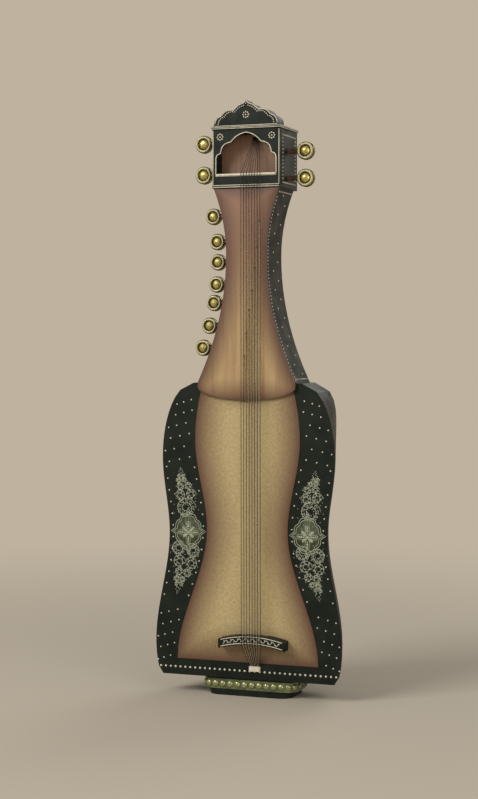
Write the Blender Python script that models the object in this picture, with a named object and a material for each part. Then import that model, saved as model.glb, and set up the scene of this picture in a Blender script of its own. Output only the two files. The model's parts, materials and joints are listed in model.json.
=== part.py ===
"""Long necked bowed or plucked lute with a waisted skin belly and an arched pegbox.

The instrument stands on its foot. X runs to the viewer's right, Y to the back and
Z up along the strings. All lengths are in metres and the origin is the middle of
the foot's underside.
"""

import math

import bmesh
import bpy
from mathutils import Matrix, Vector

MM = 0.001
GAP = 0.3 * MM

# Thicknesses and lengths that stand on each other, from the floor up.
FOOT_BASE_THICK = 10 * MM
FOOT_BAND_THICK = 15.7 * MM
FOOT_PAD_THICK = 2.7 * MM
BODY_LENGTH = 475.7 * MM
NECK_LENGTH = 310 * MM
HEAD_LENGTH = 93 * MM
CORNICE_THICK = 5.7 * MM

# Distances above the underside of the body.
TAIL_RISE = 17.7 * MM
LOWER_BOUT_RISE = 55.7 * MM
BRIDGE_RISE = 58.7 * MM
WAIST_RISE = 232.7 * MM
UPPER_BOUT_RISE = 355.7 * MM
SKIN_WAIST_SHIFT = 7 * MM
SKIN_UPPER_SHIFT = 28 * MM

# Distances from the top of the body and from the ends of the pegbox.
PLATE_DROP = 28 * MM
NECK_SLIM_RISE = 204 * MM
NUT_RISE = 22 * MM

# Half widths of the body, the skin, the neck and the pegbox.
BASE_HALF = 145.5 * MM
LOWER_BOUT_HALF = 158 * MM
WAIST_HALF = 134 * MM
UPPER_BOUT_HALF = 146 * MM
SHOULDER_HALF = 92 * MM
SKIN_LOWER_HALF = 120 * MM
SKIN_WAIST_HALF = 68.5 * MM
SKIN_UPPER_HALF = 89 * MM
SKIN_TOP_HALF = 75 * MM
NECK_BASE_HALF = 83 * MM
NECK_SLIM_HALF = 33.6 * MM
PEGBOX_HALF = 56.5 * MM
NECK_STEP = 2 * MM
CREST_STEP = 2.5 * MM
CREST_RISE = 40 * MM
CREST_THICK = 30 * MM

# Depths and walls.
RIM_FRONT = -40 * MM
FRAME_THICK = 4 * MM
SKIN_THICK = 1.2 * MM
PLATE_THICK = 5 * MM
NECK_DEPTH = 84 * MM
BODY_BULGE = 20 * MM
BODY_DRAFT = 0.34
BODY_WALL = 6 * MM
NECK_WALL = 7 * MM
END_WALL = 10 * MM
PEGBOX_WALL = 6 * MM
NECK_CORNER = 14 * MM
BOWL_CORNER = 52 * MM
SKIN_LAP = 4 * MM
NICHE_DEPTH = 22 * MM
NICHE_THICK = 3 * MM

# Window of the pegbox front.
WINDOW_JAMB = 6.5 * MM
WINDOW_JAMB_RISE = 24 * MM
WINDOW_LINTEL = 4.9 * MM

# Foot.
FOOT_BASE_HALF = 71.5 * MM
FOOT_BAND_HALF = 80 * MM
FOOT_PAD_HALF = 75.5 * MM
FOOT_DEPTH = 80 * MM

# Pegs: a round head on a tapered shaft.
MAIN_LEFT_DROP = 17 * MM
MAIN_LEFT_RISE = 26 * MM
MAIN_RIGHT_DROP = 33 * MM
MAIN_RIGHT_RISE = 17 * MM
SIDE_DROPS = (41 * MM, 82 * MM, 115 * MM, 151 * MM, 181 * MM, 218 * MM, 254 * MM)
MAIN_HEAD_RADIUS = 13.8 * MM
SIDE_HEAD_RADIUS = 12.8 * MM
HEAD_STANDOFF = 30 * MM
HEAD_THICK = 14.4 * MM
SHAFT_RADIUS = 4.4 * MM
SHAFT_TIP_RADIUS = 3.1 * MM
SPIGOT_LENGTH = 6 * MM
BORE_DEPTH = 4 * MM
BORE_CLEARANCE = 0.35 * MM
MAIN_PEG_Y = -8 * MM
SIDE_PEG_Y = -4 * MM

# Bridge, nut and strings.
BRIDGE_HALF = 56 * MM
BRIDGE_WIDTH = 15 * MM
BRIDGE_TALL = 19 * MM
BRIDGE_ARCH = 8 * MM
BRIDGE_FOOT_HALF = 16 * MM
NUT_PROUD = 3 * MM
NUT_THICK = 2.6 * MM
STRING_CENTRE = 9 * MM
BRIDGE_CENTRE = 14 * MM
STRING_PITCH = 4.6 * MM
STRING_COUNT = 8
PLAYING_RADIUS = 0.5 * MM
SYMPATHETIC_RADIUS = 0.38 * MM
TAIL_PITCH = 1.1 * MM
TAIL_HALF = 9 * MM
TAIL_PROUD = 5 * MM
TAIL_TALL = 8 * MM
SKIN_CLEAR = 5 * MM
PORT_PITCH = 1.3 * MM
PORT_HALF = 7 * MM
PORT_DROP = 12 * MM
HOLE_RADIUS = 1.5 * MM

# Heights above the floor that follow from the sizes above.
FOOT_BAND_LOW = FOOT_BASE_THICK + GAP
FOOT_PAD_LOW = FOOT_BAND_LOW + FOOT_BAND_THICK + GAP
BODY_BOTTOM = FOOT_PAD_LOW + FOOT_PAD_THICK + GAP
TAIL_HEIGHT = BODY_BOTTOM + TAIL_RISE
SKIN_BOTTOM = TAIL_HEIGHT + TAIL_TALL / 2 + SKIN_CLEAR
LOWER_BOUT_HEIGHT = BODY_BOTTOM + LOWER_BOUT_RISE
BRIDGE_HEIGHT = BODY_BOTTOM + BRIDGE_RISE
WAIST_HEIGHT = BODY_BOTTOM + WAIST_RISE
UPPER_BOUT_HEIGHT = BODY_BOTTOM + UPPER_BOUT_RISE
BODY_TOP = BODY_BOTTOM + BODY_LENGTH
PLATE_TIP_HEIGHT = BODY_TOP - PLATE_DROP
NECK_SLIM_HEIGHT = BODY_TOP + NECK_SLIM_RISE
PEGBOX_BOTTOM = BODY_TOP + NECK_LENGTH
NUT_HEIGHT = PEGBOX_BOTTOM + NUT_RISE
PEGBOX_TOP = PEGBOX_BOTTOM + HEAD_LENGTH
MAIN_LEFT_HEIGHTS = (PEGBOX_TOP - MAIN_LEFT_DROP, PEGBOX_BOTTOM + MAIN_LEFT_RISE)
MAIN_RIGHT_HEIGHTS = (PEGBOX_TOP - MAIN_RIGHT_DROP, PEGBOX_BOTTOM + MAIN_RIGHT_RISE)
SIDE_HEIGHTS = tuple(PEGBOX_BOTTOM - drop for drop in SIDE_DROPS)

# Half widths and planes that follow from the sizes above.
NECK_TOP_HALF = PEGBOX_HALF - NECK_STEP
CREST_HALF = PEGBOX_HALF - CREST_STEP
WINDOW_HALF = PEGBOX_HALF - WINDOW_JAMB
FRAME_FRONT = RIM_FRONT - GAP - FRAME_THICK
SKIN_FRONT = FRAME_FRONT - GAP - SKIN_THICK
NECK_FRONT = SKIN_FRONT
PLATE_BACK = NECK_FRONT - GAP
PLATE_FRONT = PLATE_BACK - PLATE_THICK
NECK_BACK = NECK_FRONT + NECK_DEPTH
BRIDGE_FRONT = SKIN_FRONT - GAP - BRIDGE_TALL
NUT_FRONT = PLATE_FRONT - NUT_PROUD
NICHE_FRONT = PLATE_BACK + NICHE_DEPTH
WINDOW_SILL = NUT_HEIGHT + NUT_THICK / 2 + GAP
CORNICE_BOTTOM = PEGBOX_TOP + GAP
CREST_BOTTOM = CORNICE_BOTTOM + CORNICE_THICK + GAP


def smooth(t):
    """Ease from 0 to 1 with level ends."""
    t = min(max(t, 0.0), 1.0)
    return t * t * (3.0 - 2.0 * t)


def between(value, low, high):
    """Place of a value between two others, from 0 to 1."""
    return (value - low) / (high - low)


def body_half(z):
    """Half width of the body at a height: two bouts and a waist."""
    if z < LOWER_BOUT_HEIGHT:
        t = between(z, LOWER_BOUT_HEIGHT, BODY_BOTTOM)
        return BASE_HALF + (LOWER_BOUT_HALF - BASE_HALF) * math.sqrt(max(0.0, 1 - t * t))
    if z < WAIST_HEIGHT:
        t = smooth(between(z, LOWER_BOUT_HEIGHT, WAIST_HEIGHT))
        return LOWER_BOUT_HALF + (WAIST_HALF - LOWER_BOUT_HALF) * t
    if z < UPPER_BOUT_HEIGHT:
        t = smooth(between(z, WAIST_HEIGHT, UPPER_BOUT_HEIGHT))
        return WAIST_HALF + (UPPER_BOUT_HALF - WAIST_HALF) * t
    t = between(z, UPPER_BOUT_HEIGHT, BODY_TOP)
    return SHOULDER_HALF + (UPPER_BOUT_HALF - SHOULDER_HALF) * math.sqrt(max(0.0, 1 - t * t))


def skin_half(z):
    """Half width of the skin belly at a height."""
    waist = WAIST_HEIGHT + SKIN_WAIST_SHIFT
    upper = UPPER_BOUT_HEIGHT + SKIN_UPPER_SHIFT
    if z < waist:
        t = smooth(between(z, SKIN_BOTTOM, waist))
        return SKIN_LOWER_HALF + (SKIN_WAIST_HALF - SKIN_LOWER_HALF) * t
    if z < upper:
        t = smooth(between(z, waist, upper))
        return SKIN_WAIST_HALF + (SKIN_UPPER_HALF - SKIN_WAIST_HALF) * t
    t = between(z, upper, BODY_TOP)
    return SKIN_UPPER_HALF + (SKIN_TOP_HALF - SKIN_UPPER_HALF) * t * t


def neck_half(z):
    """Half width of the neck: two parabolas that meet at its slim place."""
    if z < NECK_SLIM_HEIGHT:
        t = between(z, NECK_SLIM_HEIGHT, BODY_TOP)
        return NECK_SLIM_HALF + (NECK_BASE_HALF - NECK_SLIM_HALF) * t * t
    t = between(z, NECK_SLIM_HEIGHT, PEGBOX_BOTTOM)
    return NECK_SLIM_HALF + (NECK_TOP_HALF - NECK_SLIM_HALF) * t * t


def string_x(lane, height):
    """Sideways place of a string's lane at a height, where lane 0 is the leftmost."""
    share = between(height, BRIDGE_HEIGHT, NUT_HEIGHT)
    centre = BRIDGE_CENTRE + (STRING_CENTRE - BRIDGE_CENTRE) * share
    return centre + (lane - (STRING_COUNT - 1) / 2) * STRING_PITCH


def steps(low, high, count):
    """Evenly spaced values with both ends."""
    return [low + (high - low) * i / count for i in range(count + 1)]


def material(name, colour, roughness, metallic=0.0):
    """A plain Principled material."""
    made = bpy.data.materials.get(name)
    if made is None:
        made = bpy.data.materials.new(name)
        made.use_nodes = True
        shader = made.node_tree.nodes["Principled BSDF"]
        shader.inputs["Base Color"].default_value = (*colour, 1.0)
        shader.inputs["Roughness"].default_value = roughness
        shader.inputs["Metallic"].default_value = metallic
    return made


def ebony():
    """Dark lacquered wood of the body, the neck's sides and the pegbox."""
    return material("dark_lacquer", (0.018, 0.022, 0.016), 0.45)


def plate_wood():
    """Warm wood of the neck plate and the niche."""
    return material("plate_wood", (0.42, 0.22, 0.10), 0.5)


def bone():
    """Pale bone of the nut and the small inlaid pieces."""
    return material("bone", (0.80, 0.74, 0.58), 0.4)


def hide():
    """Stretched goat skin of the belly."""
    return material("skin_hide", (0.60, 0.44, 0.20), 0.6)


def knob_brass():
    """Golden turned peg heads."""
    return material("peg_brass", (0.62, 0.50, 0.16), 0.3, 0.9)


def shaft_wood():
    """Hard brown wood of the peg shafts."""
    return material("shaft_wood", (0.16, 0.07, 0.03), 0.5)


def gilt():
    """Gilt band of the foot."""
    return material("foot_gilt", (0.36, 0.36, 0.16), 0.4, 0.4)


def wire():
    """Steel wire of the strings."""
    return material("string_steel", (0.35, 0.33, 0.30), 0.3, 1.0)


def add_object(name, mesh, finish):
    """Link a mesh as an object with one material."""
    mesh.materials.clear()
    mesh.materials.append(finish)
    made = bpy.data.objects.new(name, mesh)
    bpy.context.scene.collection.objects.link(made)
    return made


def mesh_from(bm, name):
    """Turn a bmesh into a mesh with its faces pointing out."""
    bmesh.ops.recalc_face_normals(bm, faces=bm.faces)
    mesh = bpy.data.meshes.new(name)
    bm.to_mesh(mesh)
    bm.free()
    return mesh


def loft(name, rings):
    """Closed solid through rings with equal numbers of points, capped at both ends."""
    bm = bmesh.new()
    rows = [[bm.verts.new(p) for p in ring] for ring in rings]
    for low, high in zip(rows, rows[1:]):
        for i in range(len(low)):
            j = (i + 1) % len(low)
            bm.faces.new((low[i], low[j], high[j], high[i]))
    bm.faces.new(rows[0])
    bm.faces.new(rows[-1])
    return mesh_from(bm, name)


def slab(name, outline, front, back):
    """Plate with an outline of (x, z) points between two depths."""
    return loft(name, [[(x, y, z) for x, z in outline] for y in (front, back)])


def tied_mirror(points):
    """Add the mirrored half to a right-hand outline that runs bottom to top."""
    left = [(-x, z) for x, z in reversed(points) if abs(x) > 1e-7]
    return points + left


def hollow_section(half, front, back, corner, z, arc=6, draft=0.0):
    """Points of a section with a flat front, drawn-in sides and rounded back corners."""
    right = [(half, front)]
    side = half - draft * (back - corner - front)
    for i in range(arc + 1):
        a = math.pi / 2 * i / arc
        right.append((side - corner + corner * math.cos(a), back - corner + corner * math.sin(a)))
    return [Vector((x, y, z)) for x, y in right] + [
        Vector((-x, y, z)) for x, y in reversed(right)
    ]


def cut(target, cutter_mesh, name):
    """Cut a solid with another through an exact Boolean."""
    cutter = bpy.data.objects.new(name, cutter_mesh)
    bpy.context.scene.collection.objects.link(cutter)
    cutter.hide_render = True
    cutter.display_type = "WIRE"
    step = target.modifiers.new(name, "BOOLEAN")
    step.operation = "DIFFERENCE"
    step.solver = "EXACT"
    step.object = cutter
    return cutter


def round_edges(obj, angle=35.0):
    """Shade smooth, with edges sharper than the angle kept sharp."""
    obj.data.shade_smooth()
    obj.data.set_sharp_from_angle(angle=math.radians(angle))


def body_back(z):
    """Depth of the body's back: deepest at the bouts, level with the neck on top."""
    rise = smooth(between(z, BODY_TOP, UPPER_BOUT_HEIGHT))
    tail = 1.0 - 0.6 * (1.0 - smooth(between(z, BODY_BOTTOM, LOWER_BOUT_HEIGHT)))
    return NECK_BACK + BODY_BULGE * rise * tail


def body_corner(z):
    """Radius of the bowl's back corners, tighter where it meets the neck."""
    return NECK_CORNER + (BOWL_CORNER - NECK_CORNER) * smooth(between(z, BODY_TOP, UPPER_BOUT_HEIGHT))


def body_rings(inset, front, low, high, count):
    """Sections of the body, drawn in by a wall, with sides that slope in towards the back."""
    return [
        hollow_section(body_half(z) - inset, front, body_back(z) - inset,
                       max(body_corner(z) - inset, 2 * MM), z,
                       draft=BODY_DRAFT * smooth(between(z, BODY_TOP, UPPER_BOUT_HEIGHT)))
        for z in steps(low, high, count)
    ]


def build_body():
    """Carved bowl, open at the front."""
    outer = loft("sound_box", body_rings(0.0, RIM_FRONT, BODY_BOTTOM, BODY_TOP, 34))
    obj = add_object("sound_box", outer, ebony())
    inner = body_rings(BODY_WALL, RIM_FRONT - 5 * MM, BODY_BOTTOM + END_WALL, BODY_TOP - END_WALL, 26)
    cut(obj, loft("bowl_hollow", inner), "bowl_hollow")
    round_edges(obj)
    return obj


def body_outline():
    """Front outline of the body."""
    return tied_mirror([(body_half(z), z) for z in steps(BODY_BOTTOM, BODY_TOP, 40)])


def skin_outline(inset=0.0):
    """Front outline of the skin, or of the opening under it."""
    top = BODY_TOP - 5 * MM - inset
    heights = steps(SKIN_BOTTOM + inset, top, 30)
    return tied_mirror([(skin_half(z) - inset, z) for z in heights])


def build_frame():
    """Dark front frame with the opening that the skin is stretched over."""
    obj = add_object("front_frame", slab("front_frame", body_outline(), FRAME_FRONT,
                                         FRAME_FRONT + FRAME_THICK), ebony())
    cut(obj, slab("belly_opening", skin_outline(SKIN_LAP), FRAME_FRONT - 5 * MM,
                  RIM_FRONT + 5 * MM), "belly_opening")
    return obj


def build_skin():
    """Skin belly, lapped over the frame's opening."""
    return add_object("belly_skin", slab("belly_skin", skin_outline(), SKIN_FRONT,
                                         SKIN_FRONT + SKIN_THICK), hide())


def neck_rings(inset, front, low, high, count):
    """Sections of the neck trough, drawn in by a wall."""
    return [
        hollow_section(neck_half(z) - inset, front, NECK_BACK - inset, NECK_CORNER - inset, z, 4)
        for z in steps(low, high, count)
    ]


def build_neck():
    """Hollow neck, open at the front under its plate, bored for the side pegs."""
    low = BODY_TOP + GAP
    outer = loft("neck_shell", neck_rings(0.0, NECK_FRONT, low, PEGBOX_BOTTOM, 20))
    obj = add_object("neck_shell", outer, ebony())
    inner = neck_rings(NECK_WALL, NECK_FRONT - 5 * MM, low + END_WALL, PEGBOX_BOTTOM - END_WALL, 16)
    cut(obj, loft("neck_hollow", inner), "neck_hollow")
    for number, height in enumerate(SIDE_HEIGHTS, 1):
        bore = shaft_mesh(-1, neck_half(height), height, SIDE_PEG_Y, BORE_CLEARANCE)
        cut(obj, bore, f"side_bore_{number}")
    round_edges(obj)
    return obj


def plate_outline():
    """Neck plate: the neck's own edges and a drooping tongue over the skin."""
    low = BODY_TOP - 6 * MM
    tongue = low - PLATE_TIP_HEIGHT
    corner = NECK_BASE_HALF
    right = []
    for i in range(13):
        a = math.pi / 2 * i / 12
        right.append((corner * math.sin(a), low - tongue * math.cos(a)))
    for z in steps(BODY_TOP + 2 * MM, PEGBOX_BOTTOM - GAP, 22):
        right.append((neck_half(z), z))
    return tied_mirror(right)


def build_plate():
    """Smooth wooden plate that closes the neck."""
    obj = add_object("neck_plate", slab("neck_plate", plate_outline(), PLATE_FRONT,
                                        PLATE_FRONT + PLATE_THICK), plate_wood())
    for number, height in enumerate(SIDE_HEIGHTS, 1):
        drop = height - PORT_DROP
        where = Vector((sympathetic_x(number, drop), PLATE_FRONT, drop))
        hole = rod_mesh("string_hole", where + Vector((0, -5 * MM, 0)),
                        where + Vector((0, 15 * MM, 0)), HOLE_RADIUS, HOLE_RADIUS, 8)
        cut(obj, hole, f"string_hole_{number}")
    return obj


def sympathetic_x(number, height):
    """Lane of a side string: the gaps between the playing strings, right to left."""
    return string_x(STRING_COUNT - 1 - number + 0.5, height)


def rod_mesh(name, start, end, start_radius, end_radius, sides):
    """Round or tapered rod between two points."""
    start = Vector(start)
    end = Vector(end)
    axis = (end - start).normalized()
    side = axis.orthogonal().normalized()
    other = axis.cross(side)
    rings = []
    for centre, radius in ((start, start_radius), (end, end_radius)):
        rings.append([
            centre + radius * (math.cos(a) * side + math.sin(a) * other)
            for a in (2 * math.pi * i / sides for i in range(sides))
        ])
    return loft(name, rings)


def shaft_mesh(sign, wall, height, depth, clearance, sides=16):
    """Tapered shaft from its head, through one wall and into the other."""
    start = sign * (wall + HEAD_STANDOFF - SPIGOT_LENGTH)
    end = -sign * (wall - PEGBOX_WALL + BORE_DEPTH + (clearance if clearance else 0.0))
    return rod_mesh("shaft", (start, depth, height), (end, depth, height),
                    SHAFT_RADIUS + clearance, SHAFT_TIP_RADIUS + clearance, sides)


def head_mesh(radius):
    """Turned round head with a ring and a boss on both faces, bored for its shaft."""
    half = HEAD_THICK / 2
    profile = [
        (0.0, half), (0.34 * radius, half * 0.93), (0.54 * radius, half * 0.72),
        (0.66 * radius, half * 0.72), (0.80 * radius, half * 0.92),
        (0.93 * radius, half * 0.8), (radius, half * 0.4),
    ]
    points = profile + [(r, -y) for r, y in reversed(profile)]
    sides = 24
    bm = bmesh.new()
    rows = []
    for r, y in points:
        if r == 0.0:
            rows.append([bm.verts.new((0.0, y, 0.0))])
            continue
        rows.append([
            bm.verts.new((r * math.cos(a), y, r * math.sin(a)))
            for a in (2 * math.pi * i / sides for i in range(sides))
        ])
    for low, high in zip(rows, rows[1:]):
        for i in range(sides):
            j = (i + 1) % sides
            ring = [low[i % len(low)], low[j % len(low)], high[j % len(high)], high[i % len(high)]]
            bm.faces.new(list(dict.fromkeys(ring)))
    return mesh_from(bm, "peg_head")


def build_peg(name, sign, wall, height, depth, radius):
    """One peg: its shaft and its head, which turn together on the shaft's axis."""
    turn = bpy.data.objects.new(f"{name}_axis", None)
    turn.location = (0.0, depth, height)
    bpy.context.scene.collection.objects.link(turn)
    shaft = add_object(f"{name}_shaft", shaft_mesh(sign, wall, height, depth, 0.0), shaft_wood())
    head = add_object(f"{name}_head", head_mesh(radius), knob_brass())
    head.location = (sign * (wall + HEAD_STANDOFF), depth, height)
    socket = rod_mesh("socket", (sign * (wall + HEAD_STANDOFF - SPIGOT_LENGTH + GAP), depth, height),
                      (sign * (wall + HEAD_STANDOFF - 2 * radius), depth, height),
                      SHAFT_RADIUS + GAP, SHAFT_RADIUS + GAP, 16)
    cut(head, socket, f"{name}_socket")
    for piece in (shaft, head):
        round_edges(piece)
        piece.parent = turn
        piece.matrix_parent_inverse = Matrix.Translation(turn.location).inverted()
    return turn


def box_mesh(name, x_half, front, back, low, high):
    """Rectangular block, the same on both sides of the middle."""
    outline = [(x_half, low), (x_half, high), (-x_half, high), (-x_half, low)]
    return slab(name, outline, front, back)


def build_pegbox():
    """Square box, open at the front, bored for the main pegs."""
    low = PEGBOX_BOTTOM + GAP
    obj = add_object("pegbox_shell", box_mesh("pegbox_shell", PEGBOX_HALF, NECK_FRONT, NECK_BACK,
                                              low, PEGBOX_TOP), ebony())
    inner = box_mesh("pegbox_hollow", PEGBOX_HALF - PEGBOX_WALL, NECK_FRONT - 5 * MM,
                     NECK_BACK - PEGBOX_WALL, low + PEGBOX_WALL, PEGBOX_TOP - PEGBOX_WALL)
    cut(obj, inner, "pegbox_hollow")
    number = 0
    for sign, heights in ((-1, MAIN_LEFT_HEIGHTS), (1, MAIN_RIGHT_HEIGHTS)):
        for height in heights:
            number += 1
            cut(obj, shaft_mesh(sign, PEGBOX_HALF, height, MAIN_PEG_Y, BORE_CLEARANCE),
                f"main_bore_{number}")
    return obj


def lobes(corners, bulges, count=5):
    """Outline that swells between corner points, as cusped arches do."""
    points = []
    for (x0, z0), (x1, z1), bulge in zip(corners, corners[1:], bulges):
        dx, dz = x1 - x0, z1 - z0
        for i in range(count):
            t = i / count
            swell = bulge * math.sin(math.pi * t)
            points.append((x0 + dx * t + dz * swell, z0 + dz * t - dx * swell))
    points.append(corners[-1])
    return points


def window_outline():
    """Cusped arch: straight jambs, two lobes a side and a pointed top."""
    jamb = WINDOW_SILL + WINDOW_JAMB_RISE
    top = PEGBOX_TOP - WINDOW_LINTEL
    corners = [(WINDOW_HALF, jamb), (0.85 * WINDOW_HALF, jamb + 0.2 * (top - jamb)),
               (0.5 * WINDOW_HALF, jamb + 0.64 * (top - jamb)), (0.0, top)]
    arch = lobes(corners, (0.22, 0.22, 0.10))
    return tied_mirror([(WINDOW_HALF, WINDOW_SILL)] + arch)


def build_pegbox_front():
    """Front board of the pegbox with the cusped window."""
    front = add_object("pegbox_front", box_mesh("pegbox_front", PEGBOX_HALF, PLATE_FRONT,
                                                PLATE_FRONT + PLATE_THICK,
                                                PEGBOX_BOTTOM + GAP, PEGBOX_TOP), ebony())
    cut(front, slab("window", window_outline(), PLATE_FRONT - 5 * MM, PLATE_BACK + 5 * MM), "window")
    seat = slab("nut_seat", [(WINDOW_HALF + GAP, NUT_HEIGHT - NUT_THICK / 2 - GAP),
                             (WINDOW_HALF + GAP, WINDOW_SILL + 1 * MM),
                             (-WINDOW_HALF - GAP, WINDOW_SILL + 1 * MM),
                             (-WINDOW_HALF - GAP, NUT_HEIGHT - NUT_THICK / 2 - GAP)],
                PLATE_FRONT - 5 * MM, PLATE_FRONT + 3 * MM)
    cut(front, seat, "nut_seat")
    return front


def build_nut():
    """Bone strip on the sill that the strings cross."""
    outline = [(WINDOW_HALF, NUT_HEIGHT - NUT_THICK / 2), (WINDOW_HALF, NUT_HEIGHT + NUT_THICK / 2),
               (-WINDOW_HALF, NUT_HEIGHT + NUT_THICK / 2), (-WINDOW_HALF, NUT_HEIGHT - NUT_THICK / 2)]
    return add_object("nut", slab("nut", outline, NUT_FRONT, PLATE_FRONT + 3 * MM - GAP), bone())


def build_niche():
    """Brown board behind the window, with the slot that the strings go through."""
    half = PEGBOX_HALF - PEGBOX_WALL - GAP
    low = PEGBOX_BOTTOM + 2 * GAP + PEGBOX_WALL
    high = PEGBOX_TOP - PEGBOX_WALL - GAP
    obj = add_object("niche_board", box_mesh("niche_board", half, NICHE_FRONT,
                                             NICHE_FRONT + NICHE_THICK, low, high), plate_wood())
    z = port_height()
    slot = [(STRING_CENTRE - PORT_HALF, z - 2.5 * MM), (STRING_CENTRE - PORT_HALF, z + 2.5 * MM),
            (STRING_CENTRE + PORT_HALF, z + 2.5 * MM), (STRING_CENTRE + PORT_HALF, z - 2.5 * MM)]
    cut(obj, slab("string_slot", slot, NICHE_FRONT - 5 * MM, NICHE_FRONT + 8 * MM), "string_slot")
    return obj


def port_height():
    """Height of the slot that gathers the strings under the arch."""
    return PEGBOX_TOP - PEGBOX_WALL - 6 * MM


def build_cornice():
    """Moulded slab on top of the pegbox, standing a little proud all round."""
    proud = 1.6 * MM
    rings = []
    for z, grow in ((CORNICE_BOTTOM, 0.0), (CORNICE_BOTTOM + CORNICE_THICK * 0.35, proud),
                    (CORNICE_BOTTOM + CORNICE_THICK * 0.65, proud),
                    (CORNICE_BOTTOM + CORNICE_THICK, 0.4 * proud)):
        x = PEGBOX_HALF + grow
        rings.append([(x, PLATE_FRONT - grow, z), (x, NECK_BACK + grow, z),
                      (-x, NECK_BACK + grow, z), (-x, PLATE_FRONT - grow, z)])
    return add_object("cornice", loft("cornice", rings), ebony())


def build_crest():
    """Cusped crest board: a middle lobe and two lobes a side."""
    base = CREST_BOTTOM
    corners = [(CREST_HALF, base), (0.78 * CREST_HALF, base + 0.42 * CREST_RISE),
               (0.4 * CREST_HALF, base + 0.62 * CREST_RISE), (0.0, base + 0.92 * CREST_RISE)]
    half = lobes(corners, (0.2, 0.18, 0.1), 6)
    half[-1] = (0.0, base + CREST_RISE)
    return add_object("crest_board", slab("crest_board", tied_mirror(half), PLATE_FRONT,
                                          PLATE_FRONT + CREST_THICK), ebony())


def build_foot():
    """Foot of three layers: a dark base, a gilt band and a thin pad."""
    layers = (
        ("foot_base", FOOT_BASE_HALF, 0.0, FOOT_BASE_THICK, ebony()),
        ("foot_band", FOOT_BAND_HALF, FOOT_BAND_LOW, FOOT_BAND_LOW + FOOT_BAND_THICK, gilt()),
        ("foot_pad", FOOT_PAD_HALF, FOOT_PAD_LOW, FOOT_PAD_LOW + FOOT_PAD_THICK, ebony()),
    )
    for name, half, low, high, finish in layers:
        rings = [oval(half, FOOT_DEPTH / 2, z) for z in (low, high)]
        round_edges(add_object(name, loft(name, rings), finish))


def oval(half, depth, z, count=8):
    """Stadium shape: straight front and back, round ends."""
    points = []
    corner = min(depth, 22 * MM)
    for quarter in range(4):
        for i in range(count + 1):
            a = math.pi / 2 * (quarter + i / count)
            sx = 1 if quarter in (0, 3) else -1
            sy = 1 if quarter in (0, 1) else -1
            points.append((sx * (half - corner) + corner * math.cos(a),
                           sy * (depth - corner) + corner * math.sin(a), z))
    return points


def build_bridge():
    """Arched bridge bar on two feet, curved upwards between its ends."""
    def centre_line(x):
        return BRIDGE_HEIGHT + BRIDGE_ARCH * (1 - ((x - BRIDGE_CENTRE) / BRIDGE_HALF) ** 2)

    count = 16
    xs = steps(BRIDGE_CENTRE - BRIDGE_HALF, BRIDGE_CENTRE + BRIDGE_HALF, count)
    rings = [[(x, BRIDGE_FRONT, centre_line(x) - BRIDGE_WIDTH / 2),
              (x, BRIDGE_FRONT, centre_line(x) + BRIDGE_WIDTH / 2),
              (x, SKIN_FRONT - GAP, centre_line(x) + BRIDGE_WIDTH / 2),
              (x, SKIN_FRONT - GAP, centre_line(x) - BRIDGE_WIDTH / 2)] for x in xs]
    obj = add_object("bridge", loft("bridge", rings), ebony())
    inner = BRIDGE_HALF - 2 * BRIDGE_FOOT_HALF
    reach = BRIDGE_WIDTH + BRIDGE_ARCH
    recess = [(BRIDGE_CENTRE + inner, BRIDGE_HEIGHT - reach),
              (BRIDGE_CENTRE + inner, BRIDGE_HEIGHT + reach),
              (BRIDGE_CENTRE - inner, BRIDGE_HEIGHT + reach),
              (BRIDGE_CENTRE - inner, BRIDGE_HEIGHT - reach)]
    cut(obj, slab("bridge_recess", recess, SKIN_FRONT - 5 * MM, SKIN_FRONT + 5 * MM), "bridge_recess")
    return obj


def build_tail():
    """Small bone tail block that all the strings are tied to."""
    low = TAIL_HEIGHT - TAIL_TALL / 2
    high = TAIL_HEIGHT + TAIL_TALL / 2
    outline = [(BRIDGE_CENTRE + TAIL_HALF, low), (BRIDGE_CENTRE + TAIL_HALF, high),
               (BRIDGE_CENTRE - TAIL_HALF, high), (BRIDGE_CENTRE - TAIL_HALF, low)]
    return add_object("tail_block", slab("tail_block", outline, FRAME_FRONT - GAP - TAIL_PROUD,
                                         FRAME_FRONT - GAP), bone())


def string_object(name, points, radius):
    """Taut wire along straight runs between its supports."""
    rings = []
    count = len(points)
    for i, point in enumerate(points):
        back = points[max(i - 1, 0)]
        ahead = points[min(i + 1, count - 1)]
        axis = (ahead - back).normalized()
        side = axis.cross(Vector((1, 0, 0))).normalized()
        rings.append([
            point + radius * (math.cos(a) * Vector((1, 0, 0)) + math.sin(a) * side)
            for a in (2 * math.pi * k / 6 for k in range(6))
        ])
    obj = add_object(name, loft(name, rings), wire())
    round_edges(obj)
    return obj


def tail_point(order, radius):
    """Where a string is tied, from left to right."""
    x = BRIDGE_CENTRE + (order - (STRING_COUNT - 1)) * TAIL_PITCH
    return Vector((x, FRAME_FRONT - TAIL_PROUD / 2, TAIL_HEIGHT + TAIL_TALL / 2 + GAP + radius))


def bridge_points(x, radius):
    """The two edges of the bridge's top that a string lies on."""
    middle = BRIDGE_HEIGHT + BRIDGE_ARCH * (1 - ((x - BRIDGE_CENTRE) / BRIDGE_HALF) ** 2)
    y = BRIDGE_FRONT - GAP - radius
    return [Vector((x, y, middle - BRIDGE_WIDTH / 2)), Vector((x, y, middle + BRIDGE_WIDTH / 2))]


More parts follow.
